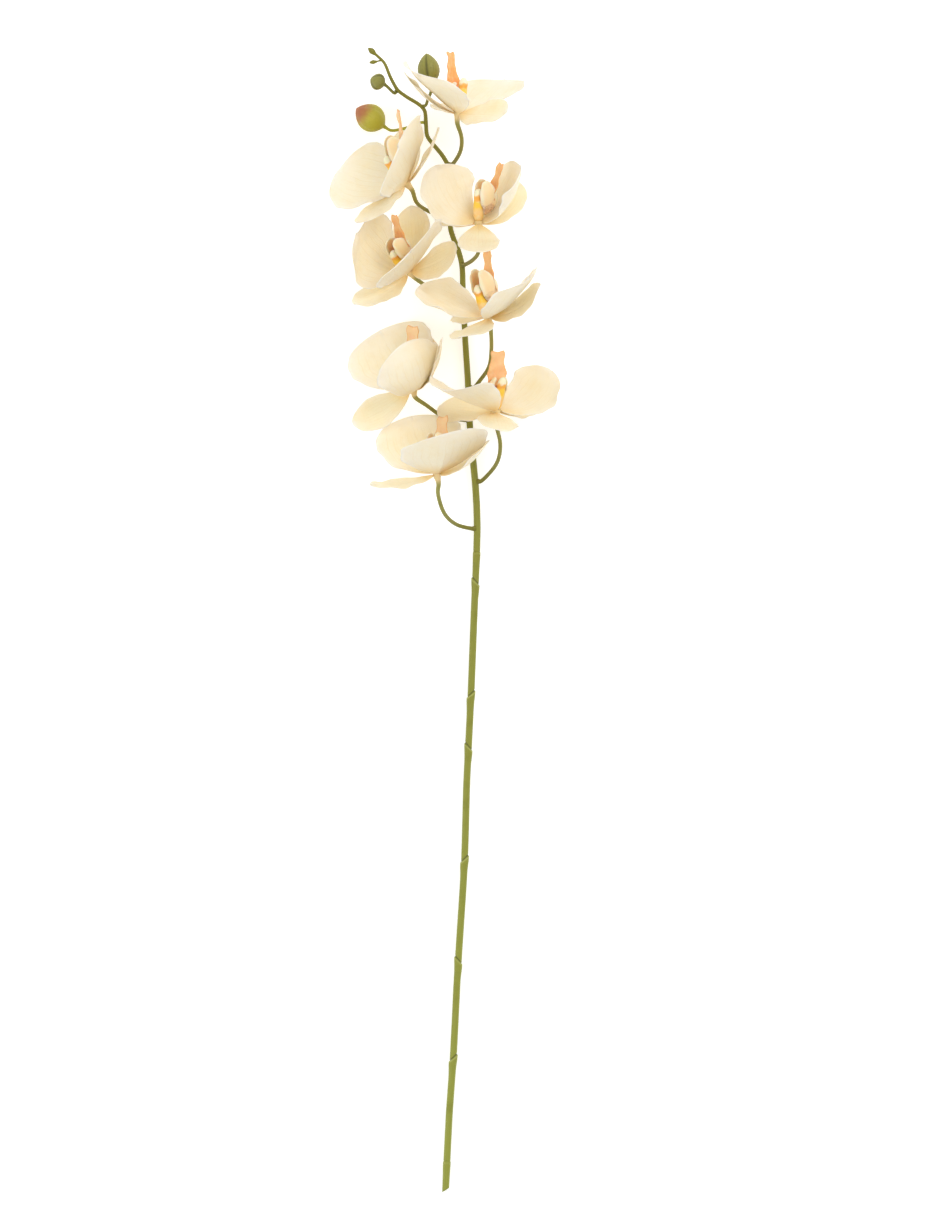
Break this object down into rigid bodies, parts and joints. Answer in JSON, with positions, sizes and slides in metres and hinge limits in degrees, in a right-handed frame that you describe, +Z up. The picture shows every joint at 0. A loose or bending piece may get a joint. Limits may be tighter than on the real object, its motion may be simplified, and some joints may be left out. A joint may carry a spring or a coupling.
{
  "type": "cut orchid flower stem",
  "caption": "Cut stem of a cream moth orchid lying flat: a long green stem with open flowers on short arching stalks and buds at the tip, a decorative stem for a vase.",
  "frame": {"origin": "middle of the foot of the bounding box, on the surface the stem lies on", "axes": "+Y along the stem from the cut end to the tip, +Z up from the surface, +X to the right when seen from above with the tip away"},
  "size_m": [0.1816, 0.9006, 0.1217],
  "materials": {
    "petal": "soft satin",
    "sepal": "soft satin",
    "lip": "soft matte",
    "pedicel": "matte",
    "stem": "matte",
    "green_bud": "matte",
    "blush_bud": "matte"
  },
  "bodies": {
    "root": {"flower_1_dorsal_sepal": "sepal", "flower_1_left_lateral_sepal": "sepal", "flower_1_right_lateral_sepal": "sepal", "flower_1_left_petal": "petal", "flower_1_right_petal": "petal", "flower_1_lip": "lip", "flower_1_pedicel": "pedicel", "flower_2_dorsal_sepal": "sepal", "flower_2_left_lateral_sepal": "sepal", "flower_2_right_lateral_sepal": "sepal", "flower_2_left_petal": "petal", "flower_2_right_petal": "petal", "flower_2_lip": "lip", "flower_2_pedicel": "pedicel", "flower_3_dorsal_sepal": "sepal", "flower_3_left_lateral_sepal": "sepal", "flower_3_right_lateral_sepal": "sepal", "flower_3_left_petal": "petal", "flower_3_right_petal": "petal", "flower_3_lip": "lip", "flower_3_pedicel": "pedicel", "flower_4_dorsal_sepal": "sepal", "flower_4_left_lateral_sepal": "sepal", "flower_4_right_lateral_sepal": "sepal", "flower_4_left_petal": "petal", "flower_4_right_petal": "petal", "flower_4_lip": "lip", "flower_4_pedicel": "pedicel", "flower_5_dorsal_sepal": "sepal", "flower_5_left_lateral_sepal": "sepal", "flower_5_right_lateral_sepal": "sepal", "flower_5_left_petal": "petal", "flower_5_right_petal": "petal", "flower_5_lip": "lip", "flower_5_pedicel": "pedicel", "flower_6_dorsal_sepal": "sepal", "flower_6_left_lateral_sepal": "sepal", "flower_6_right_lateral_sepal": "sepal", "flower_6_left_petal": "petal", "flower_6_right_petal": "petal", "flower_6_lip": "lip", "flower_6_pedicel": "pedicel", "flower_7_dorsal_sepal": "sepal", "flower_7_left_lateral_sepal": "sepal", "flower_7_right_lateral_sepal": "sepal", "flower_7_left_petal": "petal", "flower_7_right_petal": "petal", "flower_7_lip": "lip", "flower_7_pedicel": "pedicel", "flower_8_dorsal_sepal": "sepal", "flower_8_left_lateral_sepal": "sepal", "flower_8_right_lateral_sepal": "sepal", "flower_8_left_petal": "petal", "flower_8_right_petal": "petal", "flower_8_lip": "lip", "flower_8_pedicel": "pedicel", "stem": "stem", "green_bud_large": "green_bud", "green_bud_small": "green_bud", "blush_bud": "blush_bud"}
  },
  "joints": []
}
